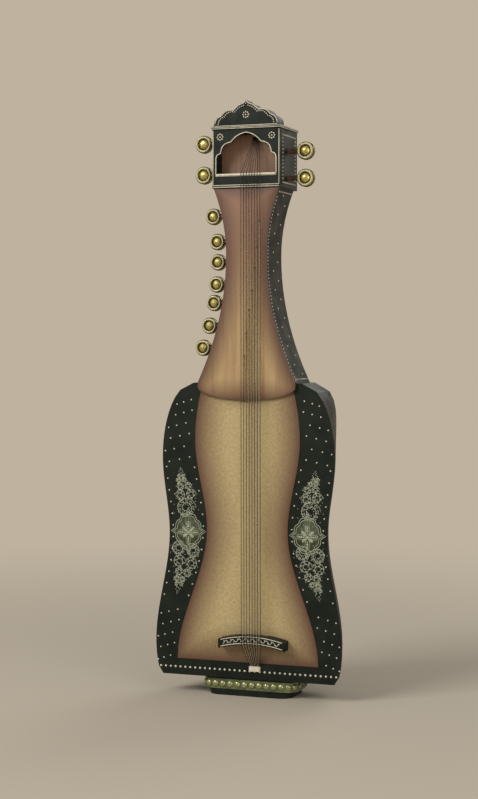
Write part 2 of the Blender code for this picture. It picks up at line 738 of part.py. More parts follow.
def build_playing_strings():
    """Eight playing strings: over the bridge and the nut, through the niche to the pegs."""
    pegs = list(MAIN_LEFT_HEIGHTS) + list(MAIN_RIGHT_HEIGHTS)
    for lane in range(STRING_COUNT):
        x = string_x(lane, NUT_HEIGHT)
        nut_y = NUT_FRONT - GAP - PLAYING_RADIUS
        port_x = STRING_CENTRE + (lane - (STRING_COUNT - 1) / 2) * PORT_PITCH
        ports = [Vector((port_x, y, port_height()))
                 for y in (NICHE_FRONT - 1 * MM, NICHE_FRONT + NICHE_THICK + 1.5 * MM)]
        peg = sorted(pegs)[lane // 2]
        end = Vector((port_x, MAIN_PEG_Y - SHAFT_RADIUS - GAP - PLAYING_RADIUS, peg))
        points = [tail_point(2 * lane, PLAYING_RADIUS)]
        points += bridge_points(string_x(lane, BRIDGE_HEIGHT), PLAYING_RADIUS)
        points += [Vector((x, nut_y, NUT_HEIGHT - NUT_THICK / 2)),
                   Vector((x, nut_y, NUT_HEIGHT + NUT_THICK / 2)), *ports, end]
        string_object(f"playing_string_{lane + 1}", points, PLAYING_RADIUS)


def build_side_strings():
    """Seven sympathetic strings between them, each down its hole to its side peg."""
    for number, height in enumerate(SIDE_HEIGHTS, 1):
        hole = height - PORT_DROP
        x = sympathetic_x(number, hole)
        order = 2 * (STRING_COUNT - 1 - number) + 1
        points = [tail_point(order, SYMPATHETIC_RADIUS)]
        points += bridge_points(sympathetic_x(number, BRIDGE_HEIGHT), SYMPATHETIC_RADIUS)
        points += [Vector((x, PLATE_FRONT - 1 * MM, hole)),
                   Vector((x, PLATE_BACK + 1 * MM, hole + 0.6 * MM)),
                   Vector((x, SIDE_PEG_Y - SHAFT_RADIUS - GAP - SYMPATHETIC_RADIUS, height - 1 * MM))]
        string_object(f"side_string_{number}", points, SYMPATHETIC_RADIUS)


def build_pegs():
    """Four main pegs in the pegbox and seven side pegs in the neck."""
    for number, height in enumerate(MAIN_LEFT_HEIGHTS, 1):
        build_peg(f"main_peg_left_{number}", -1, PEGBOX_HALF, height, MAIN_PEG_Y, MAIN_HEAD_RADIUS)
    for number, height in enumerate(MAIN_RIGHT_HEIGHTS, 1):
        build_peg(f"main_peg_right_{number}", 1, PEGBOX_HALF, height, MAIN_PEG_Y, MAIN_HEAD_RADIUS)
    for number, height in enumerate(SIDE_HEIGHTS, 1):
        build_peg(f"side_peg_{number}", -1, neck_half(height), height, SIDE_PEG_Y, SIDE_HEAD_RADIUS)


def build_all():
    """Model the whole instrument."""
    for old in list(bpy.data.objects):
        bpy.data.objects.remove(old, do_unlink=True)
    build_foot()
    build_body()
    build_frame()
    build_skin()
    build_neck()
    build_plate()
    build_pegbox()
    build_pegbox_front()
    build_nut()
    build_niche()
    build_cornice()
    build_crest()
    build_bridge()
    build_tail()
    build_pegs()
    build_playing_strings()
    build_side_strings()


build_all()
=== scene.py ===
"""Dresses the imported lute: lacquer, hide, bone inlay, gilt foot and turned pegs."""

import json
import logging
import math
from dataclasses import dataclass, field
from enum import Enum
from typing import Callable, Iterable, Sequence

import bmesh
import bpy
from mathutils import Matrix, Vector

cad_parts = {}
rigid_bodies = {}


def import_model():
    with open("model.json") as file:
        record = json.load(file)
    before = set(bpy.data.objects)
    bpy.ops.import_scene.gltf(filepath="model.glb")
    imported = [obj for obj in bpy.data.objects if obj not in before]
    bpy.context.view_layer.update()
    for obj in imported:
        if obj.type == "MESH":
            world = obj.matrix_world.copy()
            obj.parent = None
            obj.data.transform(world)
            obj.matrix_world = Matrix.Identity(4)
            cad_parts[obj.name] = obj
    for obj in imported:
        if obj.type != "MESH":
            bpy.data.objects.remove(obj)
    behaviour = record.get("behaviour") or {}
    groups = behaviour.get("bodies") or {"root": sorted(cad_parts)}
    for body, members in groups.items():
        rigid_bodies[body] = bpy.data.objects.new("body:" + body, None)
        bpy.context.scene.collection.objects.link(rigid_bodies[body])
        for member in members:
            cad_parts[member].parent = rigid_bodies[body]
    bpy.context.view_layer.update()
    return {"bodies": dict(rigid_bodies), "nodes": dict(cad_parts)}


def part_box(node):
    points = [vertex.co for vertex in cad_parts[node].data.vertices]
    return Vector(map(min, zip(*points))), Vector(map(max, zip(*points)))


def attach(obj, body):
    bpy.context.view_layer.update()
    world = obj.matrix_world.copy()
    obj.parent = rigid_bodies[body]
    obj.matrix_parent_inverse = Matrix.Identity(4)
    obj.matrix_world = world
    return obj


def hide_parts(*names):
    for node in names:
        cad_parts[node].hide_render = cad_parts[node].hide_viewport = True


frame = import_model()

MM = 0.001
BODY = "instrument"
LOG = logging.getLogger("lute")

Colour = tuple[float, float, float]
Flat = tuple[float, float]


class Side(Enum):
    """The instrument's two sides."""

    LEFT = -1
    RIGHT = 1


class Effect(Enum):
    """Shader groups that several finishes share."""

    MOTTLE = "mottled_tone"
    GRAIN = "long_grain"


@dataclass(frozen=True)
class EffectGroups:
    """Builds the shared shader groups once."""

    def mottle(self) -> bpy.types.NodeTree:
        """Soft uneven tone between two colours.

        Returns:
            The group, with outputs Colour, Mask and Height.
        """
        found = bpy.data.node_groups.get(Effect.MOTTLE.value)
        return found or self._build(Effect.MOTTLE.value, stretch=1.0)

    def grain(self) -> bpy.types.NodeTree:
        """Tone drawn out along the strings, as wood and wire-drawn hide show.

        Returns:
            The group, with outputs Colour, Mask and Height.
        """
        found = bpy.data.node_groups.get(Effect.GRAIN.value)
        return found or self._build(Effect.GRAIN.value, stretch=0.07)

    def _build(self, name: str, stretch: float) -> bpy.types.NodeTree:
        """Makes one group of two layered noises.

        Args:
            name: the group's name.
            stretch: scale along the height against the width.

        Returns:
            The finished group.
        """
        tree = bpy.data.node_groups.new(name, "ShaderNodeTree")
        face = tree.interface
        for label, kind, value in (
            ("Colour A", "NodeSocketColor", (0.5, 0.5, 0.5, 1)),
            ("Colour B", "NodeSocketColor", (0.3, 0.3, 0.3, 1)),
            ("Scale", "NodeSocketFloat", 60.0),
            ("Low", "NodeSocketFloat", 0.35),
            ("High", "NodeSocketFloat", 0.65),
        ):
            socket = face.new_socket(label, in_out="INPUT", socket_type=kind)
            socket.default_value = value
        for label, kind in (("Colour", "NodeSocketColor"), ("Mask", "NodeSocketFloat"),
                            ("Height", "NodeSocketFloat")):
            face.new_socket(label, in_out="OUTPUT", socket_type=kind)
        nodes, links = tree.nodes, tree.links
        enter = nodes.new("NodeGroupInput")
        leave = nodes.new("NodeGroupOutput")
        where = nodes.new("ShaderNodeTexCoord")
        turn = nodes.new("ShaderNodeMapping")
        turn.inputs["Scale"].default_value = (1.0, 1.0, stretch)
        broad = nodes.new("ShaderNodeTexNoise")
        broad.inputs["Detail"].default_value = 6.0
        fine = nodes.new("ShaderNodeTexNoise")
        fine.inputs["Detail"].default_value = 4.0
        times = nodes.new("ShaderNodeMath")
        times.operation = "MULTIPLY"
        times.inputs[1].default_value = 7.0
        spread = nodes.new("ShaderNodeMapRange")
        mix = nodes.new("ShaderNodeMix")
        mix.data_type = "RGBA"
        links.new(where.outputs["Object"], turn.inputs["Vector"])
        links.new(turn.outputs["Vector"], broad.inputs["Vector"])
        links.new(turn.outputs["Vector"], fine.inputs["Vector"])
        links.new(enter.outputs["Scale"], broad.inputs["Scale"])
        links.new(enter.outputs["Scale"], times.inputs[0])
        links.new(times.outputs[0], fine.inputs["Scale"])
        links.new(broad.outputs["Fac"], spread.inputs["Value"])
        links.new(enter.outputs["Low"], spread.inputs["From Min"])
        links.new(enter.outputs["High"], spread.inputs["From Max"])
        links.new(spread.outputs["Result"], mix.inputs["Factor"])
        links.new(enter.outputs["Colour A"], mix.inputs["A"])
        links.new(enter.outputs["Colour B"], mix.inputs["B"])
        links.new(mix.outputs["Result"], leave.inputs["Colour"])
        links.new(spread.outputs["Result"], leave.inputs["Mask"])
        links.new(fine.outputs["Fac"], leave.inputs["Height"])
        return tree


@dataclass(frozen=True)
class Finish:
    """One procedural finish: two tones, gloss, relief and an optional darker edge of painted shade."""

    name: str
    light: Colour
    dark: Colour
    roughness: Flat = (0.35, 0.55)
    metallic: float = 0.0
    scale: float = 60.0
    effect: Effect = Effect.MOTTLE
    bump: float = 0.15
    bump_depth: float = 0.0004
    shine: float = 0.5
    # edge: colour of the painted shade that darkens a sheet toward its edges.
    edge: Colour | None = None
    upper: Colour | None = None
    upper_span: Flat = (0.0, 1.0)

    def material(self) -> bpy.types.Material:
        """Makes the material once.

        Returns:
            The Principled material of this finish.
        """
        made = bpy.data.materials.get(self.name)
        if made:
            return made
        made = bpy.data.materials.new(self.name)
        made.use_nodes = True
        nodes, links = made.node_tree.nodes, made.node_tree.links
        shader = nodes["Principled BSDF"]
        groups = EffectGroups()
        tone = nodes.new("ShaderNodeGroup")
        tone.node_tree = groups.grain() if self.effect is Effect.GRAIN else groups.mottle()
        tone.inputs["Colour A"].default_value = (*self.light, 1)
        tone.inputs["Colour B"].default_value = (*self.dark, 1)
        tone.inputs["Scale"].default_value = self.scale
        colour = tone.outputs["Colour"]
        if self.upper:
            colour = self._blend(made, colour, self.upper, self._rise(made))
        # Painted shade: the sheet darkens toward its edges by the edge_shade attribute.
        if self.edge:
            colour = self._blend(made, colour, self.edge, self._shade(made))
        links.new(colour, shader.inputs["Base Color"])
        gloss = nodes.new("ShaderNodeMapRange")
        gloss.inputs["To Min"].default_value = self.roughness[0]
        gloss.inputs["To Max"].default_value = self.roughness[1]
        links.new(tone.outputs["Mask"], gloss.inputs["Value"])
        links.new(gloss.outputs["Result"], shader.inputs["Roughness"])
        relief = nodes.new("ShaderNodeBump")
        relief.inputs["Strength"].default_value = self.bump
        relief.inputs["Distance"].default_value = self.bump_depth
        links.new(tone.outputs["Height"], relief.inputs["Height"])
        links.new(relief.outputs["Normal"], shader.inputs["Normal"])
        shader.inputs["Metallic"].default_value = self.metallic
        shader.inputs["Specular IOR Level"].default_value = self.shine
        return made

    def _blend(self, made: bpy.types.Material, base: bpy.types.NodeSocket, over: Colour,
               mask: bpy.types.NodeSocket) -> bpy.types.NodeSocket:
        """Mixes a colour over another by a mask.

        Args:
            made: the material.
            base: the colour below.
            over: the colour on top.
            mask: where the top colour shows.

        Returns:
            The mixed colour.
        """
        mix = made.node_tree.nodes.new("ShaderNodeMix")
        mix.data_type = "RGBA"
        mix.inputs["B"].default_value = (*over, 1)
        made.node_tree.links.new(base, mix.inputs["A"])
        made.node_tree.links.new(mask, mix.inputs["Factor"])
        return mix.outputs["Result"]

    def _shade(self, made: bpy.types.Material) -> bpy.types.NodeSocket:
        """Reads how near the edge a point of a sheet lies, which sets its painted edge shade.

        Args:
            made: the material.

        Returns:
            The socket with the value, 1 at the edge.
        """
        reader = made.node_tree.nodes.new("ShaderNodeAttribute")
        reader.attribute_name = "edge_shade"
        return reader.outputs["Fac"]

    def _rise(self, made: bpy.types.Material) -> bpy.types.NodeSocket:
        """Rises from 0 to 1 between the two heights of upper_span.

        Args:
            made: the material.

        Returns:
            The socket with the value.
        """
        nodes, links = made.node_tree.nodes, made.node_tree.links
        where = nodes.new("ShaderNodeTexCoord")
        split = nodes.new("ShaderNodeSeparateXYZ")
        ramp = nodes.new("ShaderNodeMapRange")
        ramp.interpolation_type = "SMOOTHSTEP"
        ramp.inputs["From Min"].default_value = self.upper_span[0]
        ramp.inputs["From Max"].default_value = self.upper_span[1]
        links.new(where.outputs["Object"], split.inputs[0])
        links.new(split.outputs["Z"], ramp.inputs["Value"])
        return ramp.outputs["Result"]


@dataclass(frozen=True)
class Palette:
    """Every finish of the instrument."""

    lacquer: Finish = Finish("black_green_lacquer", (0.012, 0.018, 0.012), (0.005, 0.008, 0.005),
                             (0.42, 0.60), scale=35, bump=0.12, shine=0.2)
    # The hide and the plate darken toward their edges with painted shade.
    hide: Finish = Finish("stretched_hide", (0.58, 0.45, 0.22), (0.47, 0.34, 0.15), (0.5, 0.68),
                          scale=260, bump=0.3, edge=(0.115, 0.048, 0.024))
    plate: Finish = Finish("neck_plate_wood", (0.50, 0.34, 0.16), (0.38, 0.23, 0.105), (0.36, 0.52),
                           scale=110, effect=Effect.GRAIN, edge=(0.10, 0.042, 0.024),
                           upper=(0.31, 0.165, 0.095), upper_span=(0.58, 0.78))
    niche: Finish = Finish("niche_wood", (0.30, 0.16, 0.09), (0.18, 0.085, 0.045), (0.45, 0.6),
                           scale=80, effect=Effect.GRAIN)
    bone: Finish = Finish("aged_bone", (0.80, 0.75, 0.60), (0.66, 0.58, 0.42), (0.32, 0.5), scale=160)
    gold: Finish = Finish("peg_gold", (0.62, 0.52, 0.17), (0.40, 0.33, 0.10), (0.22, 0.4), 0.85,
                          scale=220, bump=0.1)
    ring: Finish = Finish("peg_cream_ring", (0.74, 0.68, 0.42), (0.55, 0.48, 0.25), (0.3, 0.45), 0.2,
                          scale=200)
    shaft: Finish = Finish("peg_shaft_wood", (0.16, 0.075, 0.035), (0.07, 0.03, 0.015), (0.4, 0.55),
                           scale=120, effect=Effect.GRAIN)
    gilt: Finish = Finish("foot_gilding", (0.20, 0.23, 0.11), (0.09, 0.11, 0.055), (0.35, 0.55), 0.35,
                          scale=110)
    cabochon: Finish = Finish("foot_cabochon", (0.47, 0.47, 0.24), (0.26, 0.28, 0.12), (0.18, 0.32), 0.6,
                              scale=140)
    dark_wire: Finish = Finish("playing_wire", (0.030, 0.022, 0.015), (0.016, 0.012, 0.008), (0.35, 0.5),
                               0.25, scale=300)
    pale_wire: Finish = Finish("side_wire", (0.62, 0.56, 0.42), (0.45, 0.40, 0.28), (0.25, 0.4), 0.7,
                               scale=300)
    scroll: Finish = Finish("scroll_inlay", (0.52, 0.54, 0.40), (0.34, 0.36, 0.25), (0.35, 0.5), 0.1,
                            scale=180)
    leaf_ground: Finish = Finish("cartouche_ground", (0.085, 0.105, 0.045), (0.045, 0.058, 0.026),
                                 (0.35, 0.5), 0.15, scale=170)


class Shape:
    """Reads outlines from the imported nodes."""

    def __init__(self, node: str) -> None:
        """Keeps one node's edges.

        Args:
            node: the node's name.
        """
        mesh = frame["nodes"][node].data
        self.points = [v.co.copy() for v in mesh.vertices]
        self.pairs = [tuple(e.vertices) for e in mesh.edges]
        self.low, self.high = (Vector(c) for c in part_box(node))

    def half_at(self, height: float) -> float:
        """Widest reach to the right at a height.

        Args:
            height: z in metres.

        Returns:
            The reach in metres, or 0 where the node has nothing.
        """
        best = 0.0
        for i, j in self.pairs:
            a, b = self.points[i], self.points[j]
            if (a.z - height) * (b.z - height) <= 0 and abs(a.z - b.z) > 1e-9:
                best = max(best, a.x + (b.x - a.x) * (height - a.z) / (b.z - a.z))
        return best

    def ring(self, centre: Flat, keep: Callable[[Vector], bool]) -> list[Flat]:
        """Front outline around a centre, in angle order.

        Args:
            centre: x and z of the centre.
            keep: which vertices belong to the outline.

        Returns:
            Points as x and z.
        """
        found = {(round(p.x, 5), round(p.z, 5)) for p in self.points
                 if abs(p.y - self.low.y) < 1e-4 and keep(p)}
        return sorted(found, key=lambda q: math.atan2(q[1] - centre[1], q[0] - centre[0]))


@dataclass
class Inlay:
    """Collects small raised inlay work of one finish into one mesh."""

    name: str
    finish: Finish
    mesh: bmesh.types.BMesh = field(default_factory=bmesh.new)

    def dome(self, base: Vector, normal: Vector, radius: float, rise: float = 0.6,
             sides: int = 8, rings: int = 2) -> None:
        """Adds a low dome that stands on a surface.

        Args:
            base: middle of its foot.
            normal: the way it stands out.
            radius: of its foot.
            rise: height as a share of the radius.
            sides: points around.
            rings: steps up to the top.
        """
        normal = normal.normalized()
        side = normal.orthogonal().normalized()
        other = normal.cross(side)
        rows = []
        for k in range(rings):
            a = math.pi / 2 * k / rings
            row = []
            for i in range(sides):
                turn = 2 * math.pi * i / sides
                flat = side * math.cos(turn) + other * math.sin(turn)
                row.append(self.mesh.verts.new(base + flat * radius * math.cos(a)
                                               + normal * radius * rise * math.sin(a)))
            rows.append(row)
        top = self.mesh.verts.new(base + normal * radius * rise)
        self.mesh.faces.new(list(reversed(rows[0])))
        for low, high in zip(rows, rows[1:]):
            for i in range(sides):
                j = (i + 1) % sides
                self.mesh.faces.new((low[i], low[j], high[j], high[i]))
        for i in range(sides):
            self.mesh.faces.new((rows[-1][i], rows[-1][(i + 1) % sides], top))

    def thread(self, path: Sequence[Vector], normal: Vector, radius: float,
               closed: bool = False, sides: int = 6) -> None:
        """Adds a half-sunk thread of inlay along a path.

        Args:
            path: its points.
            normal: the way out of the surface.
            radius: of the thread.
            closed: whether it returns to its start.
            sides: points around.
        """
        count = len(path)
        rows = []
        for k, point in enumerate(path):
            back = path[(k - 1) % count] if closed or k else point
            ahead = path[(k + 1) % count] if closed or k < count - 1 else point
            along = (ahead - back).normalized()
            across = along.cross(normal).normalized()
            rows.append([
                self.mesh.verts.new(point + across * radius * math.cos(a) + normal * radius * math.sin(a))
                for a in (2 * math.pi * i / sides for i in range(sides))
            ])
        pairs = list(zip(rows, rows[1:])) + ([(rows[-1], rows[0])] if closed else [])
        for low, high in pairs:
            for i in range(sides):
                j = (i + 1) % sides
                self.mesh.faces.new((low[i], low[j], high[j], high[i]))
        if not closed:
            self.mesh.faces.new(rows[0])
            self.mesh.faces.new(rows[-1])

    def tile(self, ring: Sequence[Flat], middle: Flat, plane: float, rise: float) -> None:
        """Adds a thin flat tile on the front, with a rim that goes down to the surface.

        Args:
            ring: its outline as x and z.
            middle: the point that its faces share.
            plane: y of the surface it lies on.
            rise: its thickness.
        """
        low = [self.mesh.verts.new((x, plane, z)) for x, z in ring]
        high = [self.mesh.verts.new((x, plane - rise, z)) for x, z in ring]
        tops = (self.mesh.verts.new((middle[0], plane - rise, middle[1])),
                self.mesh.verts.new((middle[0], plane, middle[1])))
        for i in range(len(ring)):
            j = (i + 1) % len(ring)
            self.mesh.faces.new((low[i], low[j], high[j], high[i]))
            self.mesh.faces.new((high[i], high[j], tops[0]))
            self.mesh.faces.new((low[j], low[i], tops[1]))

    def place(self, slot: str, body: str = BODY) -> bpy.types.Object:
        """Turns the collected work into one piece of the scene.

        Args:
            slot: the record's material slot; not used.
            body: the body that it rides on.

        Returns:
            The piece.
        """
        bmesh.ops.recalc_face_normals(self.mesh, faces=self.mesh.faces)
        data = bpy.data.meshes.new(self.name)
        self.mesh.to_mesh(data)
        self.mesh.free()
        data.shade_smooth()
        data.materials.append(self.finish.material())
        piece = bpy.data.objects.new(self.name, data)
        bpy.context.scene.collection.objects.link(piece)
        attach(piece, body)
        LOG.info("%s: %d faces", self.name, len(data.polygons))
        return piece


FRONT = Vector((0, -1, 0))


def on_front(y: float, points: Iterable[Flat]) -> list[Vector]:
    """Lays flat points on a front plane.

    Args:
        y: depth of the plane.
        points: pairs of x and z.

    Returns:
        The points in space.
    """
    return [Vector((x, y, z)) for x, z in points]


def spread(low: float, high: float, count: int) -> list[float]:
    """Evenly spaced values with both ends.

    Args:
        low: the first value.
        high: the last value.
        count: how many.

    Returns:
        The values in order.
    """
    return [low + (high - low) * i / (count - 1) for i in range(count)]


@dataclass
class Sheet:
    """A smooth front sheet that stands for a flat node and carries its painted edge shade."""

    node: str
    finish: Finish
    slot: str
    crown: float
    blend: float
    rows: int = 90
    columns: int = 28

    def build(self) -> bpy.types.Object:
        """Makes the sheet inside the node's own box.

        Returns:
            The piece that replaces the node.
        """
        shape = Shape(self.node)
        front, back = shape.low.y, shape.high.y
        low, high = shape.low.z, shape.high.z
        bm = bmesh.new()
        shade: list[float] = []
        faces = []
        for y, crown in ((front, self.crown), (back, 0.0)):
            grid = []
            for z in spread(low + 1e-4, high - 1e-4, self.rows):
                half = max(shape.half_at(z), 1 * MM)
                row = []
                for u in spread(-1.0, 1.0, self.columns):
                    x = half * math.sin(u * math.pi / 2)
                    near = min(half - abs(x), (z - low) * 0.9, (high - z) * 1.4)
                    dome = 1.0 - min(near / self.blend, 1.0)
                    row.append(bm.verts.new((x, y - crown * (1 - dome * dome) + crown, z)))
                    # edge_shade is painted shade: 1 at the sheet's edge, 0 in the middle.
                    shade.append(min(1.0, max(0.0, dome)) ** 1.2)
                grid.append(row)
            faces.append(grid)
        self._skirt(bm, faces[0], faces[1])
        bmesh.ops.recalc_face_normals(bm, faces=bm.faces)
        data = bpy.data.meshes.new(f"{self.node}_sheet")
        bm.to_mesh(data)
        bm.free()
        layer = data.attributes.new("edge_shade", "FLOAT", "POINT")
        layer.data.foreach_set("value", shade)
        data.shade_smooth()
        data.set_sharp_from_angle(angle=math.radians(40))
        data.materials.append(self.finish.material())
        piece = bpy.data.objects.new(f"{self.node}_sheet", data)
        bpy.context.scene.collection.objects.link(piece)
        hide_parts(self.node)
        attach(piece, BODY)
        LOG.info("%s stands for %s", piece.name, self.node)
        return piece

    def _skirt(self, bm: bmesh.types.BMesh, front: list, back: list) -> None:
        """Fills both faces and the edge between them.

        Args:
            bm: the mesh being made.
            front: rows of front vertices.
            back: rows of back vertices.
        """
        for grid in (front, back):
            for low, high in zip(grid, grid[1:]):
                for i in range(self.columns - 1):
                    bm.faces.new((low[i], low[i + 1], high[i + 1], high[i]))
        loops = [
            [row[0] for row in front] + front[-1][1:] + [r[-1] for r in reversed(front[:-1])]
            + list(reversed(front[0][1:-1])),
            [row[0] for row in back] + back[-1][1:] + [r[-1] for r in reversed(back[:-1])]
            + list(reversed(back[0][1:-1])),
        ]
        count = len(loops[0])
        for i in range(count):
            j = (i + 1) % count
            bm.faces.new((loops[0][i], loops[0][j], loops[1][j], loops[1][i]))


@dataclass
class BellyAndRim:
    """The skin, the studded rim and the scrolled panels of the body."""

    palette: Palette
    stud_radius: float = 1.35 * MM
    bead_radius: float = 2.0 * MM
    bead_count: int = 36
    bead_height: float = 42 * MM
    row_step: float = 19 * MM
    row_slant: float = 13 * MM
    panel_low: float = 160 * MM
    panel_high: float = 368 * MM
    cartouche_height: float = 264 * MM
    cartouche_half: float = 30 * MM
    thread_radius: float = 0.55 * MM

    def build(self) -> None:
        """Makes the sheet, studs, beads and panels."""
        Sheet("belly_skin", self.palette.hide, "skin_hide", 0.5 * MM, 58 * MM).build()
        self.rim = Shape("front_frame")
        self.skin = Shape("belly_skin")
        self.plane = self.rim.low.y
        self._studs()
        for side in Side:
            self._panel(side)

    def _studs(self) -> None:
        """Rows of studs over the rim and the close row of beads along the bottom."""
        studs = Inlay("rim_studs", self.palette.bone)
        rows = int((self.rim.high.z - 60 * MM) / self.row_step)
        for k in range(rows):
            z = 64 * MM + k * self.row_step
            inner = max(self.skin.half_at(z), 0.06)
            outer = self.rim.half_at(z)
            in_panel = self.panel_low - 8 * MM < z < self.panel_high + 4 * MM
            shares = (0.1, 0.9) if in_panel else ((0.2, 0.5, 0.8) if k % 2 else (0.35, 0.66, 0.93))
            for share in shares:
                x = inner + (outer - inner) * share
                row = z if in_panel else z - self.row_slant * share
                for side in Side:
                    if outer - x > 2 * MM:
                        studs.dome(Vector((side.value * x, self.plane, row)), FRONT, self.stud_radius)
        for x in spread(-1.0, 1.0, self.bead_count):
            reach = self.rim.half_at(self.bead_height) - 4 * MM
            studs.dome(Vector((x * reach, self.plane, self.bead_height)), FRONT, self.bead_radius)
        studs.place("bone")

    def _panel(self, side: Side) -> None:
        """Scrolled panel of one rim: a barbed cartouche, round scrolls and seed dots.

        Args:
            side: which rim.
        """
        work = Inlay(f"scroll_panel_{side.name.lower()}", self.palette.scroll)
        mid = self.cartouche_height
        self._cartouche(work, side, self._middle(side, mid), mid)
        self._fill(work, side, mid + 20 * MM, self.panel_high, (18.0, 9.4, 6.8, 4.6, 3.2))
        self._fill(work, side, mid - 18 * MM, self.panel_low, (13.5, 11.5, 7.6, 5.2, 3.6))
        work.place("bone")

    def _middle(self, side: Side, z: float) -> float:
        """Middle of one rim at a height.

        Args:
            side: which rim.
            z: the height.

        Returns:
            Its x.
        """
        return side.value * 0.5 * (self.skin.half_at(z) + self.rim.half_at(z))

    def _cartouche(self, work: Inlay, side: Side, cx: float, mid: float) -> None:
        """Barbed frame of four tips and eight lobes with a lotus flower on an olive ground.

        Args:
            work: where the raised lines go.
            side: which rim.
            cx: x of its middle.
            mid: z of its middle.
        """
        outline = []
        for i in range(96):
            a = 2 * math.pi * i / 96
            quarter = abs((2 * a / math.pi + 0.5) % 1.0 - 0.5) * 2
            tip = max(0.0, 1 - quarter / 0.30) ** 1.5
            lobe = 0.69 + 0.09 * abs(math.sin(math.pi * min(1.0, max(0.0, (quarter - 0.12) / 0.88))))
            outline.append((math.cos(a) * (lobe + 0.31 * tip), math.sin(a) * (lobe + 0.31 * tip)))
        wide, tall = self.cartouche_half, 1.28 * self.cartouche_half
        for grow in (1.0, 0.86):
            ring = [(cx + wide * grow * u, mid + tall * grow * v) for u, v in outline]
            work.thread(on_front(self.plane, ring), FRONT, self.thread_radius, closed=True)
        ground = Inlay(f"cartouche_ground_{side.name.lower()}", self.palette.leaf_ground)
        ground.tile([(cx + 0.86 * wide * u, mid + 0.86 * tall * v) for u, v in outline], (cx, mid),
                    self.plane, 0.15 * MM)
        ground.place("bone")
        root = mid - 3 * MM
        for turn, length in ((-2.2, 11), (-1.5, 18), (-0.8, 14), (0.0, 19), (0.8, 14), (1.5, 18), (2.2, 11),
                             (math.pi, 19)):
            self._petal(work, cx, root, math.pi / 2 + turn, length * MM)
            for share, size in ((0.36, 1.4), (0.55, 2.1), (0.74, 1.9), (0.9, 1.1)):
                reach = share * length * MM
                work.dome(Vector((cx - math.sin(turn) * reach, self.plane, root + math.cos(turn) * reach)),
                          FRONT, size * MM, sides=8)
        work.dome(Vector((cx, self.plane, root)), FRONT, 2.2 * MM, sides=10)

    def _fill(self, work: Inlay, side: Side, start: float, end: float, sizes: Sequence[float]) -> None:
        """Rows of paired scrolls that get smaller, with seed dots around them, up to a point.

        Args:
            work: where they go.
            side: which rim.
            start: height where they begin.
            end: height of the point.
            sizes: the scrolls' radii in millimetres, row by row.
        """
        way = 1 if end > start else -1
        z = start
        for number, size in enumerate(sizes):
            radius = size * MM
            single = number == 0 and size > 14
            z += way * radius * (0.86 if single else 0.9)
            middle = self._middle(side, z)
            lean = 2.2 * MM * math.sin(1.7 * number + side.value)
            spots = ((0.0, 1),) if single else ((-0.94, -1), (0.94, 1))
            for reach, hand in spots:
                self._medallion(work, middle + lean + reach * radius, z + 0.12 * hand * radius * way,
                                radius, hand * way)
            for k in range(9):
                a = 2 * math.pi * (k + 0.3 * number) / 9
                wide = radius * (1.22 if single else 2.1)
                work.dome(Vector((middle + lean + wide * math.cos(a), self.plane,
                                  z + 1.16 * radius * math.sin(a))), FRONT, 0.8 * MM, sides=6)
            z += way * radius * 0.82
        left = abs(end - z)
        for k in range(12):
            share = k / 12
            wide = 6.5 * MM * (1 - share) * math.sin(2.4 * k + side.value)
            height = z + way * left * share
            work.dome(Vector((self._middle(side, height) + wide, self.plane, height)), FRONT,
                      (1.05 - 0.45 * share) * MM, sides=6)

    def _medallion(self, work: Inlay, x: float, z: float, radius: float, hand: int) -> None:
        """Round scroll with a curling stem, leaves and seeds.

        Args:
            work: where it goes.
            x: of its middle.
            z: of its middle.
            radius: its outer radius.
            hand: the way it winds.
        """
        self._scroll(work, x, z, radius, hand)
        if radius < 4 * MM:
            return
        leaves = 9 if radius > 12 * MM else 6
        for k in range(leaves):
            a = hand * 2 * math.pi * k / leaves + 0.5
            self._petal(work, x + 0.5 * radius * math.cos(a), z + 0.5 * radius * math.sin(a),
                        a + 0.9 * hand, 0.40 * radius)
        for k in range(2 * leaves):
            a = math.pi * k / leaves + 0.2
            reach = (0.80 if k % 2 else 0.34) * radius
            work.dome(Vector((x + reach * math.cos(a), self.plane, z + reach * math.sin(a))), FRONT,
                      max(0.45 * MM, 0.055 * radius), sides=6)

    def _petal(self, work: Inlay, x: float, z: float, angle: float, length: float) -> None:
        """Adds a pointed petal as a closed thread.

        Args:
            work: where it goes.
            x: of its root.
            z: of its root.
            angle: the way it points.
            length: from root to tip.
        """
        ring = []
        for i in range(14):
            t = i / 14
            along = 0.5 - 0.5 * math.cos(2 * math.pi * t)
            wide = 0.24 * math.sin(2 * math.pi * t) * (0.4 + 0.6 * along ** 0.5)
            ring.append((x + length * (along * math.cos(angle) - wide * math.sin(angle)),
                         z + length * (along * math.sin(angle) + wide * math.cos(angle))))
        work.thread(on_front(self.plane, ring), FRONT, 0.42 * MM, closed=True)

    def _scroll(self, work: Inlay, x: float, z: float, size: float, hand: int) -> None:
        """Adds a curling tendril.

        Args:
            work: where it goes.
            x: of its middle.
            z: of its middle.
            size: its outer radius.
            hand: the way it winds.
        """
        path = []
        for i in range(26):
            t = i / 25
            radius = size * (1.0 - 0.78 * t)
            a = 3.6 * math.pi * t
            path.append((x + hand * radius * math.cos(a), z + radius * math.sin(a)))
        work.thread(on_front(self.plane, path), FRONT, 0.45 * MM)


